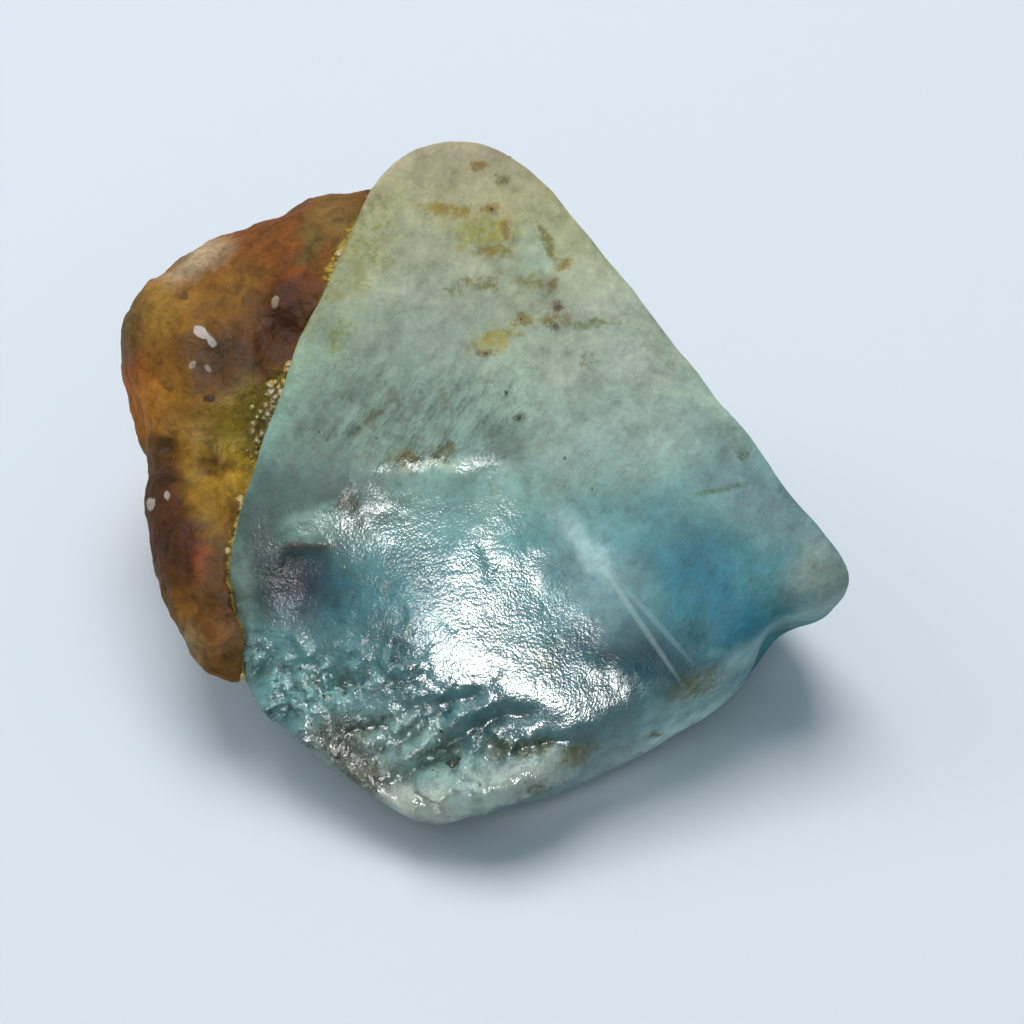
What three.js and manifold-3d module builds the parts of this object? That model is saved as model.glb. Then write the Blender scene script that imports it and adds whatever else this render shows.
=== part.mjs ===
// A worn natural fluorite octahedron, still grown to a lump of iron-stained matrix rock.
// Millimetres, +Z up, the broad front face turned to -Y. The origin is the middle of the
// stone's outer box, on the surface that the stone rests on.
import * as THREE from "three";
import { ImprovedNoise } from "three/addons/math/ImprovedNoise.js";
import { mergeVertices } from "three/addons/utils/BufferGeometryUtils.js";
import Module from "manifold-3d";

const wasm = await Module();
wasm.setup();

// Driving dimensions.
// Each face of the crystal is given by the way it looks, as a compass angle from the front
// and a height above the horizon in degrees, and by its distance from the crystal's heart.
const HEART = new THREE.Vector3(0, 6.5, 6);
const REST_HEIGHT = -3; // the level of the surface that the stone rests on
const FACES = [
  { name: "front", azimuth: 5, elevation: 54, distance: 6.5 },
  { name: "back right", azimuth: 128.5, elevation: 12, distance: 8.5 },
  { name: "upper left", azimuth: -111, elevation: 9, distance: 11.1 },
  { name: "left", azimuth: -103, elevation: 7, distance: 12.1 },
  { name: "lower left", azimuth: -83, elevation: -14, distance: 15.4 },
  { name: "crown", azimuth: 178, elevation: 30, distance: 15 },
  { name: "crown left", azimuth: -140, elevation: 27, distance: 15.3 },
  { name: "crown right", azimuth: 142, elevation: 22, distance: 11.8 },
  { name: "right tip", azimuth: 90, elevation: -6, distance: 17.05 },
  { name: "under the tip", azimuth: 45, elevation: -26, distance: 16.2 },
  { name: "under right", azimuth: 27.9, elevation: -12, distance: 15.05 },
  { name: "under left", azimuth: -45, elevation: -30, distance: 17.6 },
  { name: "foot", azimuth: -5, elevation: -38, distance: 19.1 },
  { name: "back", azimuth: 176, elevation: -12, distance: 13 },
  { name: "deep front", azimuth: -5, elevation: -58, distance: 15.7 },
  { name: "deep right", azimuth: 34.7, elevation: -52, distance: 15.2 },
  { name: "deep left", azimuth: -45, elevation: -52, distance: 15.4 },
  { name: "under back right", azimuth: 118, elevation: -48, distance: 12.5 },
  { name: "under back left", azimuth: -120, elevation: -50, distance: 12 },
  { name: "underside", azimuth: 0, elevation: -90, distance: 9.4 },
];
const FACE_SHARPNESS = 26;
// Shallow breaks that meet the faces at a low angle, with a crisper line.
const BREAKS = [
  { name: "bright face", azimuth: -14, elevation: 44, distance: 8.75 },
  { name: "chipped corner", azimuth: -42, elevation: 22, distance: 14.3 },
];
const BREAK_SHARPNESS = 60;

// Scoops, grooves and ledges worn into the crystal: each one follows a line from one point
// to another and sinks by its depth, or stands out where the depth is negative.
const WEAR = [
  { name: "notch under the tip", from: [13.9, -4.2, 5.2], to: [13.8, -0.6, -0.4], width: 2, depth: 1.3 },
  { name: "ledge", from: [-5.8, 1, 10.6], to: [-0.4, 1, 10.4], width: 1.5, depth: 0.35 },
  { name: "ledge's brow", from: [-6, 3.4, 12], to: [0, 3.4, 11.8], width: 1.4, depth: -0.25 },
  { name: "long groove", from: [-6, -9.2, 1.4], to: [-1.8, -7.7, 3.6], width: 1.3, depth: 0.5 },
  { name: "row of pits", from: [-2.9, -8.9, 2.4], to: [1.5, -8.4, 3.1], width: 1.2, depth: 0.4 },
  { name: "swollen lip", from: [-3.4, -10.5, 1], to: [2.2, -10, 1.6], width: 1.6, depth: -0.5 },
  { name: "upper chip", from: [-10.4, -5, 4.2], to: [-8.8, -6.2, 3.6], width: 1.6, depth: 0.4 },
  { name: "lower chip", from: [-9, -7.4, 2.2], to: [-8, -8.4, 1.6], width: 1.3, depth: 0.3 },
];
const SWELL = { size: 9, height: 0.3 };
const RIPPLE = { size: 3, height: 0.1 };

// The matrix is a cluster of lumps melted into each other. Each one is an egg that reaches
// from one point to another and is so many millimetres thick.
const MATRIX_HEART = new THREE.Vector3(-12.8, 9, 7.2);
const LUMPS = [
  { name: "upper lump", from: [-16, 6.4, 6.8], to: [-12.4, 16.8, 11], girth: 11.4 },
  { name: "shoulder", from: [-15.5, 10, 10.4], to: [-4, 16.4, 13.8], girth: 8.6 },
  { name: "lower lump", from: [-13.4, -4.1, 2.2], to: [-16, 8.5, 8.2], girth: 6.4 },
  { name: "root", from: [-15, 8, 3.5], to: [-4, 18, 5], girth: 10 },
];
const MELT = 1; // how wide the hollows between the lumps are filled
const LUMP_RELIEF = { size: 5, height: 0.5 };

const CLEARANCE = 0.3; // along the contact of crystal and matrix
const CRYSTAL_DETAIL = 17;
const MATRIX_DETAIL = 14;
const EVENING_PASSES = 24;

const noise = new ImprovedNoise();
const UPWARDS = new THREE.Vector3(0, 0, 1);

// The unit vector that looks out at a compass angle from the front and a height.
function lookingOut({ azimuth, elevation }) {
  const turn = THREE.MathUtils.degToRad(azimuth);
  const rise = THREE.MathUtils.degToRad(elevation);
  return new THREE.Vector3(
    Math.sin(turn) * Math.cos(rise),
    -Math.cos(turn) * Math.cos(rise),
    Math.sin(rise),
  );
}

// How hard a set of flat faces holds back a ray from the heart. The ray ends where the
// sum over all of them reaches one, which leaves each face flat and rounds the edges.
function hold(faces, sharpness, direction) {
  let sum = 0;
  for (const face of faces) {
    const share = face.outward.dot(direction) / face.distance;
    if (share > 0) sum += share ** sharpness;
  }
  return sum ** (1 / sharpness);
}

function crystalReach(direction) {
  const worn = hold(FACES, FACE_SHARPNESS, direction);
  const broken = hold(BREAKS, BREAK_SHARPNESS, direction);
  const sum = worn ** BREAK_SHARPNESS + broken ** BREAK_SHARPNESS;
  return sum ** (-1 / BREAK_SHARPNESS);
}

// Smooth noise between -height and height, with swells of about the given size.
function waves(point, { size, height }, shift = 0) {
  const p = point.clone().divideScalar(size);
  return height * noise.noise(p.x + shift, p.y + shift, p.z + shift);
}

// How far the wear sinks the crystal's surface at a point.
function wearAt(point) {
  const nearest = new THREE.Vector3();
  return WEAR.reduce((total, { line, width, depth }) => {
    line.closestPointToPoint(point, true, nearest);
    return total + depth * Math.exp(-((nearest.distanceTo(point) / width) ** 2));
  }, 0);
}

function bareGeometry(geometry) {
  const bare = new THREE.BufferGeometry();
  bare.setAttribute("position", geometry.getAttribute("position"));
  bare.setIndex(geometry.index);
  return mergeVertices(bare, 1e-4);
}

function manifoldOf(geometry) {
  return new wasm.Manifold(
    new wasm.Mesh({
      numProp: 3,
      vertProperties: geometry.getAttribute("position").array,
      triVerts: new Uint32Array(geometry.index.array),
    }),
  );
}

function geometryOf(manifold) {
  const mesh = manifold.getMesh();
  const geometry = new THREE.BufferGeometry();
  const position = new THREE.BufferAttribute(mesh.vertProperties, 3);
  geometry.setAttribute("position", position);
  geometry.setIndex(new THREE.BufferAttribute(mesh.triVerts, 1));
  geometry.computeVertexNormals();
  return geometry;
}

// For each point of a ball, the points that share an edge with it.
function neighboursOf(ball) {
  const sets = Array.from({ length: ball.getAttribute("position").count }, () => new Set());
  const corners = ball.index.array;
  for (let i = 0; i < corners.length; i += 3) {
    for (const [a, b] of [[0, 1], [1, 2], [2, 0]]) {
      sets[corners[i + a]].add(corners[i + b]);
      sets[corners[i + b]].add(corners[i + a]);
    }
  }
  return sets.map((set) => [...set]);
}

// A ball whose points are pushed out to where surface says, then evened out along it so
// that the triangles come out of about one size.
function shaped(detail, centre, surface) {
  const ball = bareGeometry(new THREE.IcosahedronGeometry(1, detail));
  const position = ball.getAttribute("position");
  const neighbours = neighboursOf(ball);
  let points = neighbours.map((_, i) => {
    return surface(new THREE.Vector3().fromBufferAttribute(position, i).normalize());
  });
  for (let pass = 0; pass < EVENING_PASSES; pass += 1) {
    points = neighbours.map((around) => {
      const mean = new THREE.Vector3();
      around.forEach((i) => mean.add(points[i]));
      return surface(mean.normalize());
    });
  }
  points.forEach((point, i) => position.setXYZ(i, ...point.add(centre)));
  return manifoldOf(ball);
}

// The crystal, grown by a clearance all round.
function crystalSolid(clearance) {
  return shaped(CRYSTAL_DETAIL, HEART, (direction) => {
    const point = direction.clone().multiplyScalar(crystalReach(direction));
    const relief = waves(point, SWELL, 3) + waves(point, RIPPLE, 7);
    const worn = wearAt(point.clone().add(HEART));
    return point.addScaledVector(direction, relief - worn + clearance);
  });
}

// How far a point is outside an egg, in millimetres; less than zero is inside.
function outsideOf({ centre, radii, upright }, point) {
  const local = point.clone().sub(centre).applyQuaternion(upright).divide(radii);
  const reach = local.length();
  return (reach * (reach - 1)) / local.divide(radii).length();
}

// The same for the whole cluster, with the hollows between the lumps filled.
function outsideOfMatrix(point) {
  const relief = waves(point, LUMP_RELIEF);
  const sum = LUMPS.reduce((total, lump) => total + Math.exp(-outsideOf(lump, point) / MELT), 0);
  return -MELT * Math.log(sum) + relief;
}

function matrixSolid() {
  const farthest = 30;
  const halvings = 22;
  return shaped(MATRIX_DETAIL, MATRIX_HEART, (direction) => {
    let inside = 0;
    let outside = farthest;
    for (let i = 0; i < halvings; i += 1) {
      const middle = (inside + outside) / 2;
      const point = MATRIX_HEART.clone().addScaledVector(direction, middle);
      if (outsideOfMatrix(point) < 0) inside = middle;
      else outside = middle;
    }
    return direction.clone().multiplyScalar(inside);
  });
}

// Everything under the resting height, as one block to cut away.
function groundBlock() {
  const side = 120;
  const block = new THREE.BoxGeometry(side, side, side);
  return manifoldOf(bareGeometry(block.translate(0, 0, REST_HEIGHT - side / 2)));
}

function stonePiece(name, manifold, color, roughness) {
  const material = new THREE.MeshStandardMaterial({ color, roughness, metalness: 0 });
  const mesh = new THREE.Mesh(geometryOf(manifold), material);
  mesh.name = name;
  return mesh;
}

for (const face of [...FACES, ...BREAKS]) face.outward = lookingOut(face);
for (const stroke of WEAR) {
  stroke.line = new THREE.Line3(new THREE.Vector3(...stroke.from), new THREE.Vector3(...stroke.to));
}

for (const lump of LUMPS) {
  const start = new THREE.Vector3(...lump.from);
  const end = new THREE.Vector3(...lump.to);
  const along = end.clone().sub(start);
  lump.centre = start.add(end).divideScalar(2);
  lump.radii = new THREE.Vector3(lump.girth / 2, lump.girth / 2, along.length() / 2);
  lump.upright = new THREE.Quaternion().setFromUnitVectors(along.normalize(), UPWARDS);
}

const ground = groundBlock();
const crystal = crystalSolid(0).subtract(ground);
const matrix = matrixSolid().subtract(crystalSolid(CLEARANCE)).subtract(ground);

const stone = new THREE.Group();
stone.add(stonePiece("fluorite_crystal", crystal, 0x7fa39c, 0.35));
stone.add(stonePiece("matrix_rock", matrix, 0x7a5a34, 0.45));
const middle = new THREE.Box3().setFromObject(stone).getCenter(new THREE.Vector3());
stone.position.set(-middle.x, -middle.y, -REST_HEIGHT);

export default stone;
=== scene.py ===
import itertools
import math

import bmesh
import bpy
import numpy as np
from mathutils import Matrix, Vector
from mathutils.kdtree import KDTree


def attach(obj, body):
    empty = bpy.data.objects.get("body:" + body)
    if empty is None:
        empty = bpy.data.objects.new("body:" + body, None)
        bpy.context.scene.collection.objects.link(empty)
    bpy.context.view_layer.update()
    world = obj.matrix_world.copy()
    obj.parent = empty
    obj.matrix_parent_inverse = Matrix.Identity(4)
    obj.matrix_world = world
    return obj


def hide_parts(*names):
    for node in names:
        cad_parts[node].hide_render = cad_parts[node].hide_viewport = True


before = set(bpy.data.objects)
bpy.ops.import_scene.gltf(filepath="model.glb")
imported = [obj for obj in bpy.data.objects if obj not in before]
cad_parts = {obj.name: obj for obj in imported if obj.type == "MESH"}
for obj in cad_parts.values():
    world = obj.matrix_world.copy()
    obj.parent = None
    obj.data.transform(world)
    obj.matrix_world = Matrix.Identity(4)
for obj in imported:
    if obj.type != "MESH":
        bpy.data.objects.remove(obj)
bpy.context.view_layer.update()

# A worn natural fluorite octahedron on a lump of iron-stained matrix rock.
# Shapes are worked out in millimetres from the drawing's own zero point, and every piece
# is moved into the frame, in metres, at the end.
MM = 0.001
ZERO_POINT = np.array([1.705, -4.704, 3.0])

# The crystal: each face by the way it looks, as a compass angle from the front and a height
# above the horizon in degrees, and by its distance from the crystal's heart.
HEART = np.array([0.0, 6.5, 6.0])
REST_HEIGHT = -3.0
FACES = {
    "front": (5, 54, 6.5),
    "back right": (128.5, 12, 8.5),
    "upper left": (-111, 9, 11.1),
    "left": (-103, 7, 12.1),
    "lower left": (-83, -14, 15.4),
    "crown": (178, 30, 15),
    "crown left": (-140, 27, 15.3),
    "crown right": (142, 22, 11.8),
    "right tip": (90, -6, 17.05),
    "under the tip": (45, -26, 16.2),
    "under right": (27.9, -12, 15.05),
    "under left": (-45, -30, 17.6),
    "foot": (-5, -38, 19.1),
    "back": (176, -12, 13),
    "deep front": (-5, -58, 15.7),
    "deep right": (34.7, -52, 15.2),
    "deep left": (-45, -52, 15.4),
    "under back right": (118, -48, 12.5),
    "under back left": (-120, -50, 12),
    "underside": (0, -90, 9.4),
}
FACE_SHARPNESS = 26
BREAKS = {
    "bright face": (-14, 44, 8.75),
    "chipped corner": (-42, 22, 14.3),
}
BREAK_SHARPNESS = 38

# The matrix: eggs melted into each other, each from one point to another and so thick.
EGGS = {
    "upper lump": ((-16, 6.4, 6.8), (-12.4, 16.8, 11), 11.4),
    "shoulder": ((-15.5, 10, 10.4), (-4, 16.4, 13.8), 8.6),
    "lower lump": ((-13.4, -4.1, 2.2), (-16, 8.5, 8.2), 6.4),
    "root": ((-15, 8, 3.5), (-4, 18, 5), 10),
}
MELT = 1.0

# The broad face seen square on: millimetres to the right and up from the middle of the view.
SIGHT_TILT = math.radians(48)
SIGHT_CENTRE = np.array([0.0, 0.0, 10.0])
ACROSS = np.array([1.0, 0.0, 0.0])
UP = np.array([0.0, math.sin(SIGHT_TILT), math.cos(SIGHT_TILT)])
TOWARDS = np.array([0.0, -math.cos(SIGHT_TILT), math.sin(SIGHT_TILT)])

# The nets that the two pieces are remade as, in millimetres.
CRYSTAL_GRID = 0.185
MATRIX_GRID = 0.12
# Keeps rays that run away from a face from reaching zero.
SMALLEST_SHARE = 1e-3


# Smooth seeded noise, between about -1 and 1.
class Grain:
    def __init__(self, seed):
        chance = np.random.default_rng(seed)
        self.order = chance.permutation(256)
        slopes = chance.normal(size=(256, 3))
        self.slopes = slopes / np.linalg.norm(slopes, axis=1, keepdims=True)

    def __call__(self, points, size):
        cell = np.asarray(points) / size
        base = np.floor(cell).astype(int)
        part = cell - base
        fade = part**3 * (part * (part * 6 - 15) + 10)
        total = np.zeros(len(cell))
        for corner in itertools.product((0, 1), repeat=3):
            at = (base + corner) % 256
            pick = self.order[(self.order[(self.order[at[:, 0]] + at[:, 1]) % 256] + at[:, 2]) % 256]
            weight = np.prod(np.where(corner, fade, 1 - fade), axis=1)
            total += weight * np.einsum("ij,ij->i", self.slopes[pick], part - corner)
        return total * 1.7


def layered(grain, points, size, layers=3):
    return sum(grain(points + 7 * i, size / 2**i) / 2**i for i in range(layers))


def looking_out(azimuth, elevation):
    turn = math.radians(azimuth)
    rise = math.radians(elevation)
    return np.array([
        math.sin(turn) * math.cos(rise),
        -math.cos(turn) * math.cos(rise),
        math.sin(rise),
    ])


def ease(low, high, value):
    part = np.clip((value - low) / (high - low), 0, 1)
    return part * part * (3 - 2 * part)


# How hard flat faces hold back rays from the heart, and the way the held surface looks.
def hold(faces, sharpness, directions):
    outward = np.array([looking_out(azimuth, elevation) for azimuth, elevation, _ in faces.values()])
    distance = np.array([distance for _, _, distance in faces.values()])
    share = np.clip(directions @ outward.T / distance, SMALLEST_SHARE, None)
    total = (share**sharpness).sum(axis=1)
    lean = (share ** (sharpness - 1)) @ (outward / distance[:, None])
    return total ** (1 / sharpness), lean * (total ** (1 / sharpness - 1))[:, None]


# The crystal's reach and outward normal along rays from its heart.
def crystal_reach(directions):
    worn, worn_lean = hold(FACES, FACE_SHARPNESS, directions)
    broken, broken_lean = hold(BREAKS, BREAK_SHARPNESS, directions)
    total = worn**BREAK_SHARPNESS + broken**BREAK_SHARPNESS
    lean = worn_lean * (worn ** (BREAK_SHARPNESS - 1))[:, None]
    lean += broken_lean * (broken ** (BREAK_SHARPNESS - 1))[:, None]
    outward = lean / np.linalg.norm(lean, axis=1, keepdims=True)
    return total ** (-1 / BREAK_SHARPNESS), outward


def unit(vectors):
    return vectors / np.maximum(np.linalg.norm(vectors, axis=1, keepdims=True), 1e-9)


# How far points are outside the crystal, and the way out.
def outside_crystal(points):
    spoke = points - HEART
    directions = unit(spoke)
    reach, outward = crystal_reach(directions)
    slant = np.einsum("ij,ij->i", directions, outward)
    return (np.linalg.norm(spoke, axis=1) - reach) * slant, outward


# How far points are from a line through a row of stops on the broad face, as seen square
# on, and how far along it they are, from 0 to 1.
def beside(seen, stops):
    stops = np.array(stops, dtype=float)
    lengths = np.linalg.norm(np.diff(stops, axis=0), axis=1)
    best = np.full(len(seen), np.inf)
    side = np.zeros(len(seen))
    along = np.zeros(len(seen))
    for i, length in enumerate(lengths):
        start = stops[i]
        way = (stops[i + 1] - start) / length
        run = (seen - start) @ way
        held = np.clip(run, 0, length)
        off = seen - start - held[:, None] * way
        gap = np.linalg.norm(off, axis=1)
        near = gap < best
        best[near] = gap[near]
        side[near] = ((seen - start) @ np.array([-way[1], way[0]]))[near]
        along[near] = ((lengths[:i].sum() + held) / lengths.sum())[near]
    return best, side, along


def as_seen(points):
    off = points - SIGHT_CENTRE
    return np.stack([off @ ACROSS, off @ UP], axis=1)


def spot(seen, centre, radius):
    return np.exp(-(((seen - np.array(centre)) / radius) ** 2).sum(axis=1))


# A soft-edged patch on the broad face, 1 inside and 0 outside.
def patch(seen, across, up, wide, high, turn=0, soft=0.5):
    turn = math.radians(turn)
    off = seen - np.array([across, up])
    along = off @ np.array([math.cos(turn), math.sin(turn)]) / wide
    over = off @ np.array([-math.sin(turn), math.cos(turn)]) / high
    return 1 - ease(1 - soft, 1 + soft, np.hypot(along, over))


# The same places, pushed about by noise so that what is drawn there gets uneven edges.
def stirred(seen, points, size, reach, seed=50):
    grain = Grain(seed)
    push = np.stack([layered(grain, points, size), layered(grain, points + 50, size)], axis=1)
    return seen + reach * push


# Wear on the crystal: each one follows a line from one point to another and sinks by its
# depth, or stands out where the depth is negative.
WEAR = [
    ((13.9, -4.2, 5.2), (13.8, -0.6, -0.4), 2.0, 1.3),
    ((-5.8, 1, 10.6), (-0.4, 1, 10.4), 1.5, 0.1),
    ((-6, 3.4, 12), (0, 3.4, 11.8), 1.4, -0.08),
    ((-6, -9.2, 1.4), (-1.8, -7.7, 3.6), 1.3, 0.5),
    ((-2.9, -8.9, 2.4), (1.5, -8.4, 3.1), 1.2, 0.4),
    ((-3.4, -10.5, 1), (2.2, -10, 1.6), 1.6, -0.5),
    ((-10.4, -5, 4.2), (-8.8, -6.2, 3.6), 1.6, 0.4),
    ((-9, -7.4, 2.2), (-8, -8.4, 1.6), 1.3, 0.3),
]


def wear_at(points):
    total = np.zeros(len(points))
    for start, end, width, depth in WEAR:
        start = np.array(start)
        way = np.array(end) - start
        run = np.clip((points - start) @ way / (way @ way), 0, 1)
        gap = np.linalg.norm(points - start - run[:, None] * way, axis=1)
        total += depth * np.exp(-((gap / width) ** 2))
    return total


# Grooves worn into the broad face: stops, width and depth; less than zero stands out.
GROOVES = [
    ([(-6.4, -13.8), (-4.6, -12.5), (-3.3, -11.4), (-1.8, -10.4), (-0.1, -9.8), (1.8, -9.9)], 0.42, 0.42),
    ([(-6.0, -12.6), (-4.4, -11.4), (-2.6, -10.0), (-0.6, -9.2)], 0.36, -0.42),
    ([(-7.2, -12.2), (-5.0, -10.9), (-3.0, -9.3), (-1.0, -8.6)], 0.32, 0.28),
    ([(-8.6, -11.0), (-6.4, -10.4), (-4.4, -9.5), (-2.4, -8.9)], 0.4, 0.32),
    ([(-10.8, -5.7), (-9.7, -7.6)], 0.26, -0.32),
    ([(-11.0, -1.7), (-10, -1.5), (-8.9, -1.75)], 0.3, -0.26),
    ([(-11.4, -2.3), (-9.8, -2.2), (-8.8, -2.5)], 0.5, 0.2),
    ([(-11.9, -1.1), (-10.1, -0.2), (-8.2, 0.8)], 0.4, -0.07),
    ([(-1.2, -12.4), (0.6, -11.6), (2.4, -11.2), (4.5, -10.6)], 0.45, 0.36),
    ([(-3.0, -13.6), (-0.8, -13.1), (1.6, -12.4), (3.6, -11.7)], 0.6, -0.42),
    ([(-7.9, 3.7), (-6.9, 4.5), (-6.2, 5.2)], 0.22, 0.08),
    ([(-1.6, -1.4), (-1.0, -2.6), (-1.2, -3.6)], 0.3, 0.06),
    ([(9.2, 0.9), (10.8, 1.2), (11.4, 1.6)], 0.18, 0.06),
]
# How far a groove's edges wander and over what size, the share of its length that each end
# takes to fade, and how much darker it is coloured for its depth.
GROOVE_WANDER = (0.35, 0.8)
GROOVE_ENDS = 0.15
GROOVE_DARKENING = 0.7
# The line where the frosted layer ends in a low step.
LEDGE = [(-6.2, 2.2), (-5.0, 2.5), (-3.8, 2.3), (-2.4, 2.5), (-1.2, 2.3), (-0.2, 2.5), (0.5, 1.9)]
# Pits in the broad face: centre, radius and depth. The broad ones are not coloured darker.
BROAD_PIT = 1
PITS = [
    ((-2.9, -12.2), 0.26, 0.5),
    ((-2.3, -11.7), 0.4, 0.2),
    ((-0.7, -11.4), 0.45, 0.22),
    ((0.6, -11.5), 0.4, 0.16),
    ((1.6, -11.2), 0.4, 0.2),
    ((-10.0, -4.0), 1.9, 0.3),
    ((-9.4, -4.4), 0.3, 0.1),
    ((-10.4, -5.0), 0.25, 0.1),
    ((-8.0, 0.3), 0.35, 0.08),
    ((-6.8, -9.9), 0.9, 0.25),
    ((-8.6, -8.2), 0.8, 0.22),
]
# Broad swellings of the broad face: centre, radius and rise.
SWELLINGS = [
    ((0.3, -8.2), 6.4, 0.42),
    ((-6.5, -3.0), 3.5, 0.1),
]
# Which way the splinters run on the broad face.
HACKLE_TURN = math.radians(57)


# Facets as of chipped crystal: each small cell of the surface tilts its own way.
def chipped(points, size, lean, seed):
    chance = np.random.default_rng(seed)
    low = points.min(axis=0)
    span = points.max(axis=0) - low
    count = int(np.prod(span + size) / size**3)
    seeds = low + chance.random((count, 3)) * span
    tilt = chance.normal(size=(count, 3)) * lean
    tree = KDTree(count)
    for i, seed_point in enumerate(seeds):
        tree.insert(seed_point, i)
    tree.balance()
    nearest = np.array([tree.find(point)[1] for point in points])
    return np.einsum("ij,ij->i", points - seeds[nearest], tilt[nearest])


# The glossy part: its upper edge, as places across the broad face and how far up it is
# there, how softly it ends and how far it wanders.
GLOSS_EDGE = (
    [-14, -9, -6, -1, 0.5, 3, 5.5, 8, 12],
    [-2.5, -2.6, -1.4, -0.4, -1.8, -5.2, -9.5, -13, -16],
)
GLOSS_FADE = (-3.0, 2.4)
GLOSS_WANDER = 2.4
# Dull patches in it: across, up, wide, high, turn, softness and how much duller.
DULL_PATCHES = [
    (-10.6, -3.6, 3.2, 2.8, 0, 0.5, 0.85),
    (-6.4, -4.2, 2.8, 2.6, 0, 0.7, 0.85),
]
# The glossy rim under the ledge, in the same terms.
GLOSSY_RIM = (-3.6, 2.2, 2.4, 0.4, 2, 0.8)
GLOSSY_RIM_SHARE = 0.9
# Where the crystal is chipped into small ledges: centre, radius and share.
CHIPPED_SPOTS = [
    ((-9.0, -8.8), 3.6, 1.0),
    ((-6.0, -11.0), 3.2, 1.0),
    ((-1.5, -11.2), 2.6, 0.7),
]
CHIPPED_RIM = ((-12, -6.5), 2.2)
CHIPPED_RIM_SHARE = 0.5
CHIP_WANDER = 0.35
# The parts that the chips leave whole.
WHOLE_SPOT = ((0.6, -7.4), 3.6)
WHOLE_PATCH = (-10.2, -3.8, 2.6, 2.8, 0, 0.4)
WHOLE_SHARE = 0.95
# Splintered parts of the broad face: across, up, wide, high, turn, softness and share.
SPLINTERED = [
    (-4.6, 4.6, 5.2, 2.6, 12, 0.6, 1.0),
    (-8.0, 1.4, 3.0, 1.2, 0, 0.7, 0.4),
]


# Where the break leaves the surface glossy, from 0 on the frosted part to 1.
def gloss_region(seen, stir):
    edge = np.interp(seen[:, 0], *GLOSS_EDGE)
    broken = ease(*GLOSS_FADE, edge - seen[:, 1] + GLOSS_WANDER * stir)
    for *place, share in DULL_PATCHES:
        broken *= 1 - share * patch(seen, *place)
    rim = GLOSSY_RIM_SHARE * patch(seen, *GLOSSY_RIM) * ease(-0.3, 0.3, stir)
    return np.maximum(broken, rim)


def chip_region(seen, stir):
    corner = sum(share * spot(seen, centre, radius) for centre, radius, share in CHIPPED_SPOTS)
    rim = CHIPPED_RIM_SHARE * spot(seen, *CHIPPED_RIM)
    whole = np.maximum(spot(seen, *WHOLE_SPOT), patch(seen, *WHOLE_PATCH))
    chips = corner + rim + CHIP_WANDER * stir * (corner > 0.05)
    return np.clip(chips, 0, 1) * (1 - WHOLE_SHARE * whole)


def hackle_region(seen):
    return np.max([share * patch(seen, *place) for *place, share in SPLINTERED], axis=0)


# Low relief of the whole crystal in millimetres: the size of its waves, their height, and
# how much of it the glossy part loses.
SWELL = (8, 0.26)
RIPPLE = (3, 0.15, 0.8)
SKIN = (1.1, 0.025, 0.45)
# Chips: the size of their facets, how far they lean, their height and their seed.
CHIPS = [(1.7, 0.28, 0.9, 5), (0.8, 0.3, 0.7, 6)]
CHIP_SKIN = (1.6, 0.1)
# Splinters: how much longer than wide they are, their width and their height.
SPLINTERS = (3, 0.7, 0.09)
# The ledge sinks on both sides of its line: how deep, and how far that reaches.
LEDGE_BELOW = (0.05, 1.4)
LEDGE_ABOVE = (0.04, 0.5)
LEDGE_SOFTNESS = 0.25
LEDGE_WANDER = (0.25, 0.7)
LEDGE_ENDS = (0.1, 0.15)


# The crystal's relief along its outward way, and the regions that its finish needs.
def crystal_relief(points, outward):
    seen = as_seen(points)
    coarse = Grain(3)
    fine = Grain(11)
    facing = outward @ TOWARDS
    front = ease(0.0, 0.3, facing)
    stir = layered(coarse, points, 2.2)
    gloss = gloss_region(seen, stir) * front
    chips = chip_region(seen, stir) * front
    hackle = hackle_region(stirred(seen, points, 2.0, 0.8)) * front
    size, rise = SWELL
    height = rise * coarse(points, size) - wear_at(points)
    size, rise, loss = RIPPLE
    height += rise * (1 - loss * gloss) * coarse(points + 5, size)
    for centre, radius, rise in SWELLINGS:
        height += front * rise * spot(seen, centre, radius)
    size, rise, loss = SKIN
    height += rise * (1 - loss * gloss) * layered(fine, points, size)
    for size, lean, rise, seed in CHIPS:
        height += rise * chips * ease(0.2, 0.65, facing) * chipped(points, size, lean, seed)
    size, rise = CHIP_SKIN
    height += rise * chips * layered(coarse, points + 3, size)
    length, width, rise = SPLINTERS
    slant = seen @ np.array([math.cos(HACKLE_TURN), math.sin(HACKLE_TURN)])
    over = seen @ np.array([-math.sin(HACKLE_TURN), math.cos(HACKLE_TURN)])
    splinters = np.stack([slant / length, over, np.zeros(len(seen))], axis=1)
    height += rise * hackle * layered(coarse, splinters, width)
    hollow = np.zeros(len(points))
    wander, size = GROOVE_WANDER
    for stops, width, depth in GROOVES:
        gap, _, along = beside(seen, stops)
        uneven = gap * (1 + wander * fine(points, size))
        ends = ease(0, GROOVE_ENDS, along) * ease(0, GROOVE_ENDS, 1 - along)
        cut = front * depth * ends * np.exp(-((uneven / width) ** 2))
        height -= cut
        hollow += GROOVE_DARKENING * np.maximum(cut, 0)
    for centre, radius, depth in PITS:
        cut = front * depth * spot(stirred(seen, points, 0.5, 0.08), centre, radius)
        height -= cut
        hollow += cut * (radius < BROAD_PIT)
    gap, side, along = beside(seen, LEDGE)
    first_end, last_end = LEDGE_ENDS
    ends = ease(0, first_end, along) * ease(0, last_end, 1 - along)
    wander, size = LEDGE_WANDER
    below = ease(-LEDGE_SOFTNESS, LEDGE_SOFTNESS, wander * fine(points, size) - side)
    for (depth, reach), share in ((LEDGE_BELOW, below), (LEDGE_ABOVE, 1 - below)):
        height -= front * ends * depth * share * np.exp(-gap / reach)
    return height, {"front": front, "gloss": gloss, "chips": chips, "hackle": hackle, "hollow": hollow}


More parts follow.
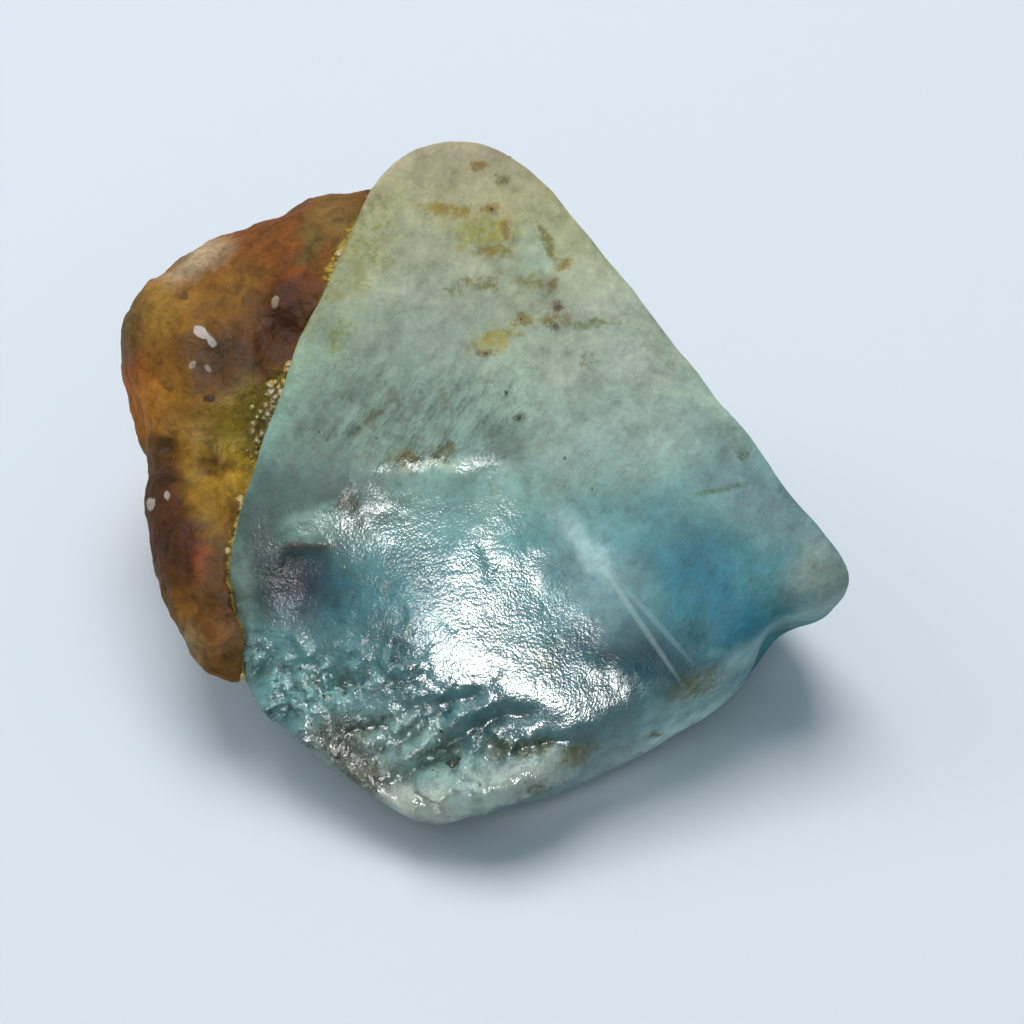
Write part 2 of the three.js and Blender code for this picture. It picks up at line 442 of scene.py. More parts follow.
# A colour as it is seen, from 0 to 255, made the colour that a shader wants.
def paint(*seen):
    shares = [level / 255 for level in seen]
    return tuple(((share + 0.055) / 1.055) ** 2.4 if share > 0.04 else share / 12.92 for share in shares)


# The crystal's colour from its foot to its crown: height seen square on, and the colour.
GROUND = [
    (-15, (104, 136, 128)),
    (-9, (80, 130, 132)),
    (-3, (94, 152, 149)),
    (2, (140, 178, 167)),
    (6, (152, 181, 156)),
    (10, (168, 178, 138)),
    (14, (180, 176, 130)),
    (18, (172, 160, 128)),
]

# Colour that lies deep in the crystal: across, up, wide, high, turn, softness, colour
# and strength.
DEPTHS = [
    (5.5, 8.5, 5.5, 4.5, 30, 0.9, (172, 178, 162), 0.7),
    (-4.0, 9.5, 3.4, 3.6, 10, 0.8, (154, 160, 152), 0.6),
    (-7.6, 6.6, 2.6, 4.6, 20, 0.8, (136, 152, 134), 0.7),
    (5.6, 3.4, 4.6, 1.7, 15, 0.8, (160, 180, 168), 0.7),
    (9.8, -4.2, 5.0, 2.5, -52, 0.9, (26, 112, 132), 0.93),
    (6.4, -7.4, 4.4, 2.4, -34, 0.6, (2, 66, 78), 0.97),
    (4.0, -3.2, 2.8, 2.0, -50, 0.7, (132, 168, 170), 0.9),
    (12.8, -0.2, 5.4, 1.5, -50, 0.8, (112, 138, 142), 0.85),
    (15.0, -3.2, 1.9, 1.5, -40, 0.6, (134, 150, 142), 0.8),
    (-2.6, -4.0, 3.4, 3.0, 0, 0.9, (74, 140, 146), 0.6),
    (-6.0, -7.4, 3.4, 2.2, -20, 0.9, (110, 170, 170), 0.7),
    (5.0, -10.2, 3.8, 0.8, 27, 0.7, (96, 136, 136), 0.7),
]

# Colour on the broad face itself, in the same terms, with a few patches of painted highlight and painted
# light among them.
FACE_PAINT_AND_LIGHT = [
    (-10.2, 0.6, 3.8, 2.6, 10, 0.9, (72, 88, 80), 0.85),
    (-7.8, 0.6, 1.6, 1.2, -30, 0.8, (86, 96, 94), 0.7),
    (-9.9, -0.6, 1.9, 0.6, 24, 0.6, (142, 180, 164), 0.8),
    (-12.6, -2.6, 1.5, 3.4, 5, 0.7, (78, 90, 82), 0.8),
    (-10.6, -3.6, 2.4, 2.1, -20, 0.8, (24, 26, 44), 0.9),
    (-9.5, -4.8, 1.8, 2.1, -10, 0.7, (30, 20, 54), 0.95),
    (-9.9, -1.75, 1.3, 0.22, 0, 0.6, (84, 72, 66), 0.85),
    (-13.4, -4.6, 0.7, 4.0, 8, 0.7, (146, 164, 150), 0.7),
    (-6.4, -6.4, 2.6, 1.2, -25, 0.8, (60, 90, 88), 0.6),
    # Painted light: the chipped corner is made a bright turquoise for light caught in its chips and glints,
    # over the crystal's own teal.
    (-9.2, -8.8, 3.4, 2.6, -30, 0.9, (142, 200, 194), 0.8),
    (-8.6, -11.4, 1.8, 1.3, 0, 0.8, (146, 146, 132), 0.7),
    (-6.6, -12.8, 1.8, 1.1, -30, 0.8, (150, 150, 136), 0.7),
    (-3.8, -14.0, 3.0, 1.0, 10, 0.6, (204, 210, 192), 0.85),
    (0.6, -12.9, 2.6, 0.9, 20, 0.7, (188, 200, 186), 0.8),
    (-5.0, 4.4, 4.4, 2.2, 12, 0.8, (122, 138, 124), 0.6),
    (-0.4, 3.4, 1.2, 0.8, -40, 0.8, (108, 124, 112), 0.6),
    (3.6, -1.8, 2.0, 0.5, -54, 0.8, (184, 214, 210), 0.7),
    (1.1, 12.6, 0.75, 1.3, 5, 0.4, (174, 192, 166), 0.7),
    # Painted light: the down-facing groove zone is made paler turquoise in place of the light that falls on
    # it.
    (-4.4, -11.4, 3.4, 1.4, -38, 0.8, (168, 206, 198), 0.8),
    # Painted highlight: a pale bar along the ledge where its rim glints.
    (-4.0, 2.25, 1.9, 0.2, 3, 0.8, (226, 226, 190), 0.45),
    # The strip under the lower right edge: its own pale colour, made lighter still as painted light in place
    # of a stronger front lamp.
    (7.9, -11.2, 6.0, 0.8, 26, 0.7, (184, 214, 208), 0.8),
    (10.6, -7.9, 5.4, 0.8, 33, 0.8, (150, 180, 178), 0.75),
    (-6.6, -5.0, 2.5, 2.8, 0, 0.8, (58, 116, 122), 0.75),
]

# Stains on the broad face, in the same terms, without softness.
STAINS = [
    (-3.1, 14.8, 1.2, 0.35, -3, (164, 134, 34), 0.9),
    (-1.4, 13.8, 1.4, 0.8, 0, (173, 161, 47), 0.75),
    (-1.0, 14.9, 0.4, 0.3, 0, (151, 113, 20), 1.0),
    (-0.3, 13.9, 0.25, 0.55, 0, (155, 119, 22), 1.0),
    (-0.95, 12.8, 0.75, 0.3, 8, (147, 123, 26), 1.0),
    (-2.5, 12.9, 0.3, 0.25, 0, (155, 134, 36), 0.9),
    (-1.6, 17.05, 0.38, 0.22, 15, (150, 112, 8), 1.0),
    (-0.47, 16.3, 0.38, 0.28, 0, (103, 94, 50), 0.8),
    (1.75, 13.2, 0.8, 0.26, -63, (123, 106, 26), 1.0),
    (2.6, 12.2, 0.35, 0.3, 40, (144, 117, 40), 0.9),
    (1.9, 11.1, 0.5, 0.22, 70, (129, 106, 36), 0.9),
    (0.97, 11.3, 0.7, 0.4, 0, (151, 140, 62), 0.7),
    (2.2, 10.1, 0.24, 0.24, 0, (112, 63, 13), 1.1),
    (2.1, 9.5, 0.7, 0.22, 12, (145, 119, 46), 0.9),
    (2.05, 9.1, 0.24, 0.26, 0, (83, 71, 30), 1.0),
    (0.5, 9.4, 0.42, 0.34, 0, (138, 111, 42), 0.9),
    (-0.78, 8.45, 1.0, 0.55, 25, (164, 146, 59), 0.9),
    (-1.26, 7.75, 0.4, 0.2, 0, (118, 94, 26), 1.0),
    (-1.6, 11.2, 0.9, 0.35, -8, (121, 111, 55), 0.8),
    (-2.9, 10.8, 0.6, 0.3, 0, (127, 119, 62), 0.6),
    (4.15, 9.3, 1.1, 0.26, 5, (118, 117, 59), 0.7),
    (3.8, 7.4, 0.4, 0.4, 0, (122, 118, 112), 0.6),
    (-5.2, 2.65, 0.7, 0.3, 0, (122, 100, 14), 0.95),
    (-3.2, 2.95, 0.55, 0.36, 10, (92, 78, 4), 1.0),
    (-8.0, 0.35, 0.5, 0.42, 0, (90, 71, 40), 0.9),
    (0.33, 4.6, 0.24, 0.2, 0, (78, 78, 62), 0.9),
    (11.3, 2.8, 0.3, 0.3, 0, (84, 96, 96), 0.8),
    (10.3, 1.1, 1.3, 0.14, 12, (84, 112, 116), 0.7),
    (9.0, -8.5, 1.1, 0.7, 20, (112, 106, 94), 0.8),
    (3.1, -11.8, 0.9, 0.5, 25, (109, 96, 48), 0.85),
    (1.3, -13.4, 0.5, 0.4, 0, (84, 80, 70), 0.8),
    (7.0, -11.1, 0.35, 0.25, 0, (96, 81, 36), 0.9),
    (-0.7, -11.4, 0.6, 0.4, 0, (92, 92, 60), 0.9),
    (0.5, -11.5, 0.5, 0.4, 0, (92, 92, 60), 0.8),
    (1.5, -11.3, 0.5, 0.4, 0, (88, 90, 37), 0.8),
    (-2.9, -12.2, 0.18, 0.18, 0, (14, 18, 16), 1.2),
    (-8.4, -11.0, 1.2, 0.8, 10, (77, 69, 35), 0.8),
    (-7.2, -12.8, 1.0, 0.7, -30, (81, 73, 36), 0.8),
    (-6.9, 4.5, 1.0, 0.16, 42, (96, 92, 80), 0.9),
    (-8.4, 8.6, 0.5, 0.9, 0, (132, 134, 64), 0.7),
    (-7.0, 13.2, 1.2, 2.0, -20, (145, 140, 55), 0.45),
    (1.6, -7.4, 0.4, 0.5, 60, (160, 170, 120), 0.5),
]

# Stains on the sides that the broad face doesn't show: a point, how far they reach and
# the colour.
BACK_STAINS = [
    ((6.0, 15.0, 10.0), 3.6, (150, 132, 82)),
    ((-2.0, 19.0, 14.0), 3.0, (156, 130, 70)),
    ((12.0, 8.0, 2.0), 2.6, (124, 118, 92)),
    ((2.0, 18.0, 2.0), 4.0, (108, 128, 120)),
    ((9.0, 12.0, 12.0), 2.0, (168, 142, 84)),
    ((-4.0, -6.0, -2.0), 3.0, (92, 104, 92)),
    ((5.0, 6.0, -3.0), 4.0, (120, 116, 88)),
]


# Each patch in turn laid over the colours so far.
def laid_over(colours, seen, patches, share=1):
    for across, up, wide, high, turn, soft, tint, strength in patches:
        mask = strength * share * patch(seen, across, up, wide, high, turn, soft)
        colours += mask[:, None] * (np.array(paint(*tint)) - colours)
    return colours


def ground_colours(heights, stops):
    levels = [level for level, _ in stops]
    tints = np.array([paint(*tint) for _, tint in stops])
    return np.stack([np.interp(heights, levels, tints[:, i]) for i in range(3)], axis=1)


def crystal_colours(points, front):
    seen = as_seen(points)
    drifting = stirred(seen, points, 3.0, 0.8)
    colours = ground_colours(drifting[:, 1], GROUND)
    laid_over(colours, drifting, DEPTHS)
    for centre, reach, tint in BACK_STAINS:
        gap = np.linalg.norm(points + 1.2 * (drifting - seen)[:, :1] - np.array(centre), axis=1)
        mask = 0.7 * (1 - front) * np.exp(-((gap / reach) ** 2))
        colours += mask[:, None] * (np.array(paint(*tint)) - colours)
    return laid_over(colours, stirred(seen, points, 1.4, 0.35), FACE_PAINT_AND_LIGHT, front)


# How strong the stains are, and their colour.
def stain_at(points, front, stains):
    seen = stirred(as_seen(points), points, 0.9, 0.12)
    strength = np.zeros(len(points))
    colours = np.tile(np.array(paint(128, 112, 78)), (len(points), 1))
    for across, up, wide, high, turn, tint, share in stains:
        mask = front * share * patch(seen, across, up, wide * 1.25, high * 1.25, turn, 0.7)
        stronger = mask > strength
        strength[stronger] = mask[stronger]
        colours[stronger] = paint(*tint)
    return strength, colours


# A merged copy of a CAD node, remade as an even net of faces, in millimetres.
def even_copy(node, grid):
    mesh = node.data.copy()
    body = bmesh.new()
    body.from_mesh(mesh)
    bmesh.ops.remove_doubles(body, verts=body.verts, dist=1e-6)
    bmesh.ops.scale(body, vec=(1 / MM,) * 3, verts=body.verts)
    body.to_mesh(mesh)
    body.free()
    return remade(mesh, grid)


def remade(mesh, grid):
    holder = bpy.data.objects.new("holder", mesh)
    bpy.context.collection.objects.link(holder)
    remesh = holder.modifiers.new("Remesh", "REMESH")
    remesh.mode = "VOXEL"
    remesh.voxel_size = grid
    bpy.context.view_layer.update()
    result = bpy.data.meshes.new_from_object(holder.evaluated_get(bpy.context.evaluated_depsgraph_get()))
    bpy.data.objects.remove(holder)
    bpy.data.meshes.remove(mesh)
    return result


def points_of(mesh):
    flat = np.empty(len(mesh.vertices) * 3)
    mesh.vertices.foreach_get("co", flat)
    return flat.reshape(-1, 3)


def set_points(mesh, points):
    mesh.vertices.foreach_set("co", np.ascontiguousarray(points).ravel())
    mesh.update()


def edges_of(mesh):
    flat = np.empty(len(mesh.edges) * 2, dtype=int)
    mesh.edges.foreach_get("vertices", flat)
    return flat.reshape(-1, 2)


# Evens out the net: each point moves towards the middle of its neighbours.
def evened(points, edges, passes, share=0.5):
    count = np.bincount(edges.ravel(), minlength=len(points))[:, None]
    for _ in range(passes):
        total = np.zeros_like(points)
        np.add.at(total, edges[:, 0], points[edges[:, 1]])
        np.add.at(total, edges[:, 1], points[edges[:, 0]])
        points = points + share * (total / count - points)
    return points


def mark(mesh, name, values):
    layer = mesh.attributes.new(name, "FLOAT", "POINT")
    layer.data.foreach_set("value", np.asarray(values, dtype=np.float32))


def mark_colour(mesh, name, colours):
    layer = mesh.attributes.new(name, "FLOAT_COLOR", "POINT")
    full = np.concatenate([colours, np.ones((len(colours), 1))], axis=1)
    layer.data.foreach_set("color", np.asarray(full, dtype=np.float32).ravel())


# Makes a mesh a piece of its own, which rides on the stone.
def shown(name, mesh):
    mesh.name = name
    mesh.shade_smooth()
    piece = bpy.data.objects.new(name, mesh)
    bpy.context.collection.objects.link(piece)
    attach(piece, "root")
    return piece


# Ends a piece: its points go into the frame, in metres.
def finished(name, mesh, points, finish):
    set_points(mesh, (points + ZERO_POINT) * MM)
    mesh.materials.clear()
    mesh.materials.append(finish)
    return shown(name, mesh)


# The yellow crust that the matrix leaves on the crystal beside it.
CRUST_TINT = (158, 148, 84)
CRUST_SHARE = 0.75
CRUST_REACH = (2.0, 0.2)
CRUST_WANDER = 1.4
# How thick grit lies: everywhere, in the hollows by their depth, and among the chips.
GRIT_EVERYWHERE = 0.02
GRIT_IN_HOLLOWS = (0.05, 0.3)
GRIT_IN_CHIPS = 0.5
CRYSTAL_EVENING = 4
MATRIX_EVENING = 2


def make_crystal():
    mesh = even_copy(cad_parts["fluorite_crystal"], CRYSTAL_GRID)
    points = points_of(mesh) - ZERO_POINT
    points = evened(points, edges_of(mesh), CRYSTAL_EVENING)
    directions = unit(points - HEART)
    reach, outward = crystal_reach(directions)
    floor_reach = np.full(len(points), np.inf)
    down = directions[:, 2] < -1e-6
    floor_reach[down] = (REST_HEIGHT - HEART[2]) / directions[down, 2]
    resting = floor_reach <= reach
    surface = HEART + directions * np.minimum(reach, floor_reach)[:, None]
    height, regions = crystal_relief(surface, outward)
    height[resting] = 0
    surface = surface + outward * height[:, None]
    surface[:, 2] = np.maximum(surface[:, 2], REST_HEIGHT)
    for name, values in regions.items():
        mark(mesh, name, values)
    in_hollows = ease(*GRIT_IN_HOLLOWS, regions["hollow"])
    mark(mesh, "grains", GRIT_EVERYWHERE + in_hollows + GRIT_IN_CHIPS * regions["chips"])
    colours = crystal_colours(surface, regions["front"])
    crust = ease(*CRUST_REACH, outside_matrix(surface) + CRUST_WANDER * layered(Grain(71), surface, 1.2))
    crust *= ease(0, 3, as_seen(surface)[:, 1])
    colours += CRUST_SHARE * crust[:, None] * (np.array(paint(*CRUST_TINT)) - colours)
    mark_colour(mesh, "tint", colours)
    stain, stain_tint = stain_at(surface, regions["front"], STAINS)
    mark(mesh, "stain", stain)
    mark_colour(mesh, "stain_tint", stain_tint)
    piece = finished("fluorite", mesh, surface, fluorite_finish())
    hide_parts("fluorite_crystal")
    return piece


# How far points are outside the melted eggs, in millimetres.
def outside_eggs(points):
    total = np.zeros(len(points))
    for start, end, girth in EGGS.values():
        start = np.array(start)
        along = np.array(end) - start
        length = np.linalg.norm(along)
        along = along / length
        off = points - start - along * length / 2
        run = off @ along
        wide = np.linalg.norm(off - run[:, None] * along, axis=1)
        scaled = np.stack([wide / (girth / 2), run / (length / 2)], axis=1)
        steeper = scaled / np.array([girth / 2, length / 2])
        reach = np.linalg.norm(scaled, axis=1)
        total += np.exp(-reach * (reach - 1) / np.maximum(np.linalg.norm(steeper, axis=1), 1e-6) / MELT)
    return -MELT * np.log(total)


# Dents in the matrix as seen square on: centre, radius and depth.
MATRIX_DENTS = [
    ((-13.9, 2.5), 1.3, 0.35),
    ((-11.2, 8.6), 1.2, 0.4),
    ((-14.5, 7.2), 0.9, 0.15),
    ((-16.9, 3.1), 0.6, 0.35),
    ((-12.2, 12.6), 1.0, 0.2),
    ((-9.6, 13.2), 0.7, 0.2),
    ((-14.6, -3.2), 0.8, 0.2),
]
# The matrix's lumps and skin: the size of the waves and their height.
MATRIX_SWELL = (5, 0.32)
MATRIX_RIPPLE = (2.2, 0.24)
MATRIX_SKIN = (1.0, 0.09)


def outside_matrix(points):
    coarse = Grain(21)
    fine = Grain(22)
    seen = as_seen(points)
    far = outside_eggs(points)
    size, rise = MATRIX_SWELL
    far -= rise * coarse(points, size)
    size, rise = MATRIX_RIPPLE
    far -= rise * coarse(points + 9, size)
    size, rise = MATRIX_SKIN
    far -= rise * layered(fine, points, size)
    for centre, radius, depth in MATRIX_DENTS:
        far += depth * spot(seen, centre, radius)
    return far


def slope_of(field, points):
    step = 0.05
    ways = np.eye(3) * step
    return unit(np.stack([field(points + way) - field(points - way) for way in ways], axis=1))


# Draws points onto the matrix: out to its lumps, and back to just inside the crystal.
def onto_matrix(points, sink=0.12):
    for _ in range(3):
        far = outside_matrix(points)
        gap, outward = outside_crystal(points)
        inward = -(gap + sink)
        touching = inward > far
        points = points - np.where(
            touching[:, None],
            -outward * inward[:, None],
            slope_of(outside_matrix, points) * far[:, None],
        )
    return points


# How wide the crumbly seam along the crystal is: heights on the broad face, and the widths.
SEAM_WIDTHS = (
    [-9, -3, 1, 3, 5, 6.5, 8, 11, 12, 14, 16],
    [0.3, 0.3, 0.6, 1.6, 2.0, 1.2, 0.3, 0.25, 0.7, 0.5, 0.2],
)
# Crumbly lumps on the matrix: how far from the crystal they reach, their size and height.
CRUMBLE_REACH = 0.8
CRUMBLE = (0.6, 0.12)


def make_matrix():
    mesh = even_copy(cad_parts["matrix_rock"], MATRIX_GRID)
    points = onto_matrix(points_of(mesh) - ZERO_POINT)
    set_points(mesh, points)
    mesh = remade(mesh, MATRIX_GRID)
    points = onto_matrix(evened(points_of(mesh), edges_of(mesh), MATRIX_EVENING))
    gap, _ = outside_crystal(points)
    near = np.exp(-np.maximum(gap, 0) / CRUMBLE_REACH)
    outward = slope_of(outside_eggs, points)
    size, rise = CRUMBLE
    points = points + outward * (near * rise * layered(Grain(31), points, size, 2))[:, None]
    seen = as_seen(points)
    front = ease(-0.1, 0.3, outward @ TOWARDS)
    width = np.interp(seen[:, 1], *SEAM_WIDTHS)
    seam = np.exp(-np.maximum(gap, 0) / width)
    mark(mesh, "seam", seam)
    mark(mesh, "grains", ease(0.35, 0.9, seam) * ease(0.2, 1.2, width) * front)
    mark_colour(mesh, "tint", matrix_colours(points, front))
    stain, stain_tint = stain_at(points, front, MATRIX_STAINS)
    mark(mesh, "stain", stain)
    mark_colour(mesh, "stain_tint", stain_tint)
    piece = finished("matrix", mesh, points, matrix_finish())
    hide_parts("matrix_rock")
    return piece


# A grain is a ball made lumpy: the scale of the lumps and how far they stand out.
LUMPS_SCALE = 0.9
LUMPS_REACH = 1.6
FULL_TURN = 6.3


# A network that scatters small grains over a mesh where an attribute says, ending in one
# mesh of real faces.
def grain_network():
    tree = bpy.data.node_groups.new("grains", "GeometryNodeTree")
    for name, kind in (
        ("Geometry", "NodeSocketGeometry"),
        ("Density", "NodeSocketFloat"),
        ("Smallest", "NodeSocketFloat"),
        ("Largest", "NodeSocketFloat"),
        ("Seed", "NodeSocketInt"),
        ("Finish", "NodeSocketMaterial"),
    ):
        tree.interface.new_socket(name, in_out="INPUT", socket_type=kind)
    tree.interface.new_socket("Geometry", in_out="OUTPUT", socket_type="NodeSocketGeometry")

    def made(kind, inputs, settings=None):
        node = tree.nodes.new(kind)
        for key, value in (settings or {}).items():
            setattr(node, key, value)
        for key, value in inputs.items():
            if isinstance(value, bpy.types.NodeSocket):
                tree.links.new(value, node.inputs[key])
            else:
                node.inputs[key].default_value = value
        return node.outputs

    given = tree.nodes.new("NodeGroupInput").outputs
    where = made("GeometryNodeInputNamedAttribute", {"Name": "grains"}, {"data_type": "FLOAT"})
    density = made("ShaderNodeMath", {0: where["Attribute"], 1: given["Density"]}, {"operation": "MULTIPLY"})
    points = made("GeometryNodeDistributePointsOnFaces", {
        "Mesh": given["Geometry"],
        "Density": density[0],
        "Seed": given["Seed"],
    })
    ball = made("GeometryNodeMeshIcoSphere", {"Radius": 1.0, "Subdivisions": 2})
    lumps = made("ShaderNodeTexNoise", {"Scale": LUMPS_SCALE, "Detail": 1.0})
    push = made("ShaderNodeVectorMath", {0: lumps["Color"], 1: (0.5, 0.5, 0.5)}, {"operation": "SUBTRACT"})
    push = made("ShaderNodeVectorMath", {0: push[0], "Scale": LUMPS_REACH}, {"operation": "SCALE"})
    grain = made("GeometryNodeSetPosition", {"Geometry": ball["Mesh"], "Offset": push[0]})
    turn = made("FunctionNodeRandomValue", {
        "Min": (0, 0, 0),
        "Max": (FULL_TURN,) * 3,
        "Seed": 1,
    }, {"data_type": "FLOAT_VECTOR"})
    size = made("FunctionNodeRandomValue", {
        2: given["Smallest"],
        3: given["Largest"],
        "Seed": 2,
    }, {"data_type": "FLOAT"})
    spread = made("GeometryNodeInstanceOnPoints", {
        "Points": points["Points"],
        "Instance": grain["Geometry"],
        "Rotation": turn["Value"],
        "Scale": size[1],
    })
    whole = made("GeometryNodeRealizeInstances", {"Geometry": spread["Instances"]})
    painted = made("GeometryNodeSetMaterial", {"Geometry": whole["Geometry"], "Material": given["Finish"]})
    result = tree.nodes.new("NodeGroupOutput")
    tree.links.new(painted["Geometry"], result.inputs["Geometry"])
    return tree


# Grains on the stone: how many to a square metre, the smallest and the largest in metres,
# their seed and their two colours.
GRAINS = {
    "crumbs": (2.4e7, 0.00007, 0.00026, 3, (122, 92, 32), (204, 180, 96)),
    "grit": (6.0e5, 0.00003, 0.00008, 5, (50, 46, 34), (120, 112, 88)),
}


# Grains scattered over a piece, as a piece of their own.
def scatter(name, ground, network, density, smallest, largest, seed, finish):
    ground_copy = bpy.data.objects.new(name, ground.data.copy())
    bpy.context.collection.objects.link(ground_copy)
    modifier = ground_copy.modifiers.new("Grains", "NODES")
    modifier.node_group = network
    values = {"Density": density, "Smallest": smallest, "Largest": largest, "Seed": seed, "Finish": finish}
    for socket in network.interface.items_tree:
        if socket.in_out == "INPUT" and socket.name in values:
            modifier[socket.identifier] = values[socket.name]
    bpy.context.view_layer.update()
    mesh = bpy.data.meshes.new_from_object(ground_copy.evaluated_get(bpy.context.evaluated_depsgraph_get()))
    bpy.data.objects.remove(ground_copy)
    return shown(name, mesh)


# Dark specks of dirt on the broad face: across, up and size.
SPECKS = [
    (3.63, 10.17, 0.11),
    (2.2, 10.07, 0.13),
    (2.05, 9.1, 0.1),
    (-0.3, 5.85, 0.12),
    (0.33, 4.6, 0.1),
    (3.9, 1.15, 0.09),
    (-9.4, 3.9, 0.09),
    (-2.9, -12.2, 0.2),
    (11.3, 2.8, 0.12),
    (-1.0, 14.9, 0.08),
    (0.45, 9.45, 0.09),
    (0.7, 9.25, 0.08),
    (-1.26, 7.75, 0.09),
    (-6.6, 3.6, 0.07),
]
SPECK_TINTS = ((34, 30, 22), (70, 54, 34))
SPECK_SHARE = 0.75
SPECK_STRETCH = (0.5, 1.3)
SPECK_ROUGHNESS = 0.3
# How far to look for the surface, in millimetres, and how often to halve that.
SIGHT_REACH = (30.0, -10.0)
SIGHT_HALVINGS = 40


# The point of the crystal's surface that is seen at a place on the broad face.
def seen_point(across, up):
    near, far = SIGHT_REACH
    for _ in range(SIGHT_HALVINGS):
        middle = (near + far) / 2
        point = SIGHT_CENTRE + across * ACROSS + up * UP + middle * TOWARDS
        gap, _ = outside_crystal(point[None])
        near, far = (middle, far) if gap[0] > 0 else (near, middle)
    return point


def make_specks():
    body = bmesh.new()
    chance = np.random.default_rng(7)
    for across, up, size in SPECKS:
        point = (seen_point(across, up) + ZERO_POINT) * MM
        made = bmesh.ops.create_icosphere(body, subdivisions=2, radius=SPECK_SHARE * size * MM)
        stretch = Vector(chance.uniform(*SPECK_STRETCH, 3))
        for corner in made["verts"]:
            corner.co *= 1 + chance.uniform(-SPECK_ROUGHNESS, SPECK_ROUGHNESS)
            corner.co = corner.co * stretch + Vector(point)
    mesh = bpy.data.meshes.new("specks")
    body.to_mesh(mesh)
    body.free()
    mesh.materials.append(grain_finish("specks", *SPECK_TINTS))
    return shown("specks", mesh)


# A shader socket that takes part in Python sums.
class Value:
    def __init__(self, finish, socket):
        self.finish = finish
        self.socket = socket

    def _sum(self, operation, first, second):
        return self.finish.node("ShaderNodeMath", {"operation": operation}, {0: first, 1: second})

    def __add__(self, other):
        return self._sum("ADD", self, other)

    def __radd__(self, other):
        return self._sum("ADD", other, self)

    def __sub__(self, other):
        return self._sum("SUBTRACT", self, other)

    def __rsub__(self, other):
        return self._sum("SUBTRACT", other, self)

    def __mul__(self, other):
        return self._sum("MULTIPLY", self, other)

    def __rmul__(self, other):
        return self._sum("MULTIPLY", other, self)


# A material under construction.
class Finish:
    def __init__(self, name):
        self.material = bpy.data.materials.new(name)
        self.material.use_nodes = True
        self.tree = self.material.node_tree
        self.tree.nodes.clear()
        place = self.node("ShaderNodeTexCoord", {}, {}, "Object")
        self.place = self.node(
            "ShaderNodeMapping",
            {"vector_type": "POINT"},
            {"Vector": place, "Location": tuple(-ZERO_POINT), "Scale": (1 / MM,) * 3},
        )
        off = self.minus(self.place, tuple(SIGHT_CENTRE))
        self.across, self.up, self.towards = (
            self.node("ShaderNodeVectorMath", {"operation": "DOT_PRODUCT"}, {0: off, 1: tuple(way)}, "Value")
            for way in (ACROSS, UP, TOWARDS)
        )

    # Adds one node: its settings first, then its values and links.
    def node(self, kind, settings, inputs, output=0):
        node = self.tree.nodes.new(kind)
        for name, value in settings.items():
            setattr(node, name, value)
        for key, value in inputs.items():
            socket = node.inputs[key]
            if isinstance(value, Value):
                self.tree.links.new(value.socket, socket)
            elif hasattr(socket.default_value, "__len__") and len(value) < len(socket.default_value):
                socket.default_value = (*value, 1)
            else:
                socket.default_value = value
        return Value(self, node.outputs[output])

    def plus(self, first, second):
        return self.node("ShaderNodeVectorMath", {"operation": "ADD"}, {0: first, 1: second})

    def minus(self, first, second):
        return self.node("ShaderNodeVectorMath", {"operation": "SUBTRACT"}, {0: first, 1: second})

    def times(self, first, second):
        return self.node("ShaderNodeVectorMath", {"operation": "MULTIPLY"}, {0: first, 1: second})

    # Noise of a size in millimetres.
    def noise(self, size, detail, rough=0.5, shift=0.0, warp=0.0, place=None):
        place = place or self.place
        if shift:
            place = self.plus(place, (shift,) * 3)
        return self.node(
            "ShaderNodeTexNoise",
            {"noise_dimensions": "3D", "noise_type": "FBM"},
            {"Vector": place, "Scale": 1 / size, "Detail": detail, "Roughness": rough, "Distortion": warp},
        )

    # The height of small flat facets, each leaning its own way.
    def facets(self, size):
        middle = self.node("ShaderNodeTexVoronoi", {}, {"Vector": self.place, "Scale": 1 / size}, "Position")
        chance = Value(self, middle.socket.node.outputs["Color"])
        off = self.minus(self.place, middle)
        lean = self.minus(chance, (0.5, 0.5, 0.5))
        return self.node("ShaderNodeVectorMath", {"operation": "DOT_PRODUCT"}, {0: off, 1: lean}, "Value")

    def rise(self, value, low, high):
        return self.node(
            "ShaderNodeMapRange",
            {"interpolation_type": "SMOOTHSTEP"},
            {"Value": value, "From Min": low, "From Max": high, "To Min": 0, "To Max": 1},
        )

    # A soft-edged patch on the broad face, 1 inside and 0 outside.
    def patch(self, across, up, wide, high, turn, soft):
        cos, sin = math.cos(math.radians(turn)), math.sin(math.radians(turn))
        x, y = self.across - across, self.up - up
        along = (x * cos + y * sin) * (1 / wide)
        over = (y * cos - x * sin) * (1 / high)
        return self.rise(along * along + over * over, 1 + soft, max(1 - soft, 0))

    def blend(self, mask, below, above):
        return self.node("ShaderNodeMix", {"data_type": "RGBA"}, {0: mask, 6: below, 7: above}, 2)

    # A colour made lighter or darker.
    def shade(self, colour, by):
        return self.node("ShaderNodeVectorMath", {"operation": "SCALE"}, {0: colour, "Scale": by})

    # Bumps of a height in millimetres.
    def bump(self, height):
        return self.node("ShaderNodeBump", {}, {"Height": height, "Distance": MM, "Strength": 1.0})

    def attribute(self, name, output="Fac"):
        return self.node("ShaderNodeAttribute", {"attribute_name": name}, {}, output)

    def ended(self, surface, volume=None):
        out = self.tree.nodes.new("ShaderNodeOutputMaterial")
        self.tree.links.new(surface.socket, out.inputs["Surface"])
        if volume:
            self.tree.links.new(volume.socket, out.inputs["Volume"])
        return self.material

    def shader(self, kind, inputs):
        return self.node(kind, {}, inputs)


